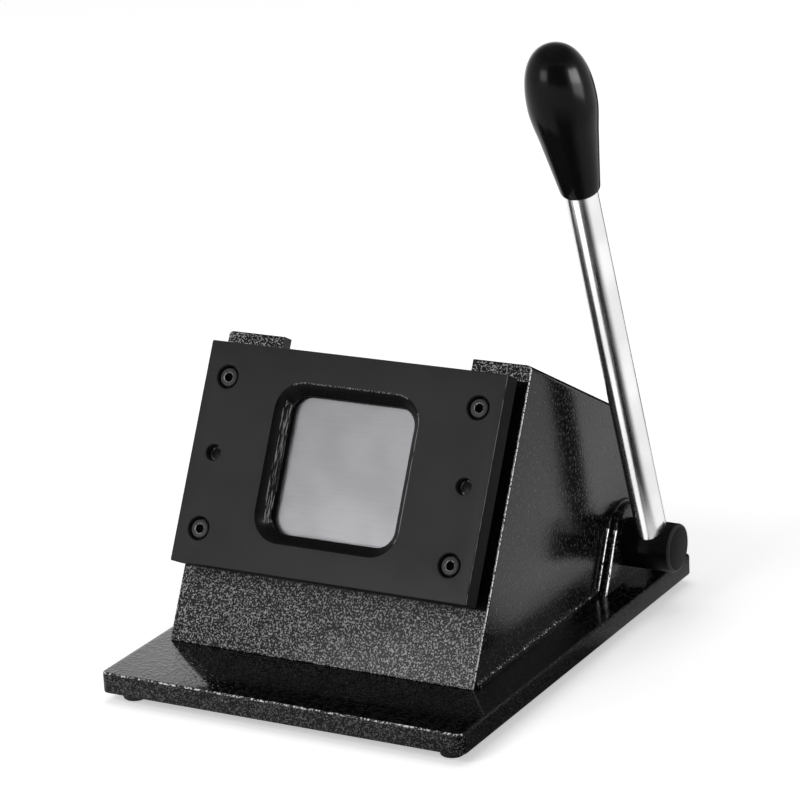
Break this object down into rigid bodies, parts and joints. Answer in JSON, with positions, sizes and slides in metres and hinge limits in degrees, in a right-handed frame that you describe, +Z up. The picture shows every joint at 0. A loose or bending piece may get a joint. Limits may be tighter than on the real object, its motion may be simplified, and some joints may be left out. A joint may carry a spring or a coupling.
{
  "type": "square paper punch",
  "caption": "Desk lever punch that cuts rounded squares from card: base plate on rubber feet, leaning housing, die plate with card slot, cam shaft and chrome lever with a black knob.",
  "frame": {"origin": "on the floor, under the middle of the whole machine at rest", "axes": "+Z up, +Y to the rear, +X towards the side with the lever"},
  "size_m": [0.1615, 0.1948, 0.2374],
  "materials": {
    "base_paint": "black hammered enamel",
    "housing_paint": "black hammered enamel",
    "cover_paint": "black hammered enamel",
    "foot_rubber": "moulded, matt",
    "zinc_steel": "zinc plated",
    "black_screw": "black oxide",
    "guide_steel": "black oxide, satin",
    "die_steel": "black oxide, satin",
    "ground_steel": "ground",
    "spring_steel": "drawn wire",
    "shaft_black": "black oxide, polished",
    "bush_bronze": "sintered bronze",
    "lever_chrome": "polished chrome",
    "knob_plastic": "polished black"
  },
  "bodies": {
    "frame": {"base_plate": "base_paint", "rubber_feet": "foot_rubber", "foot_screws": "zinc_steel", "housing": "housing_paint", "housing_bolts": "black_screw", "top_cover": "cover_paint", "cover_screws": "black_screw", "guide_plate": "guide_steel", "die_plate": "die_steel", "die_screws": "black_screw", "dowel_pins": "black_screw", "guide_rods": "ground_steel", "rod_clips": "spring_steel", "return_spring_left": "spring_steel", "return_spring_right": "spring_steel", "bush_left": "bush_bronze", "bush_right": "bush_bronze"},
    "lever": {"lever_shaft": "shaft_black", "cam": "ground_steel", "cam_key": "zinc_steel", "shaft_rings": "spring_steel", "lever_rod": "lever_chrome", "knob": "knob_plastic"},
    "ram": {"punch": "ground_steel", "ram_plate": "guide_steel", "punch_screws": "black_screw", "push_stem": "ground_steel"}
  },
  "joints": [
    {"name": "lever_hinge", "type": "hinge", "parent": "frame", "child": "lever", "pos_m": [0, 0.06542, 0.0262], "axis": [1, 0, 0], "range_deg": [0, 60]},
    {"name": "punch_slide", "type": "slide", "parent": "frame", "child": "ram", "axis": [0, -0.887, 0.4617], "range_m": [0, 0.00472], "stiffness_N_per_m": 6000, "springref_m": -0.007, "deforming": ["return_spring_left", "return_spring_right"]}
  ],
  "couplings": [
    {"joint": "punch_slide", "follows": "lever_hinge", "m_per_rad": 0.0045}
  ]
}
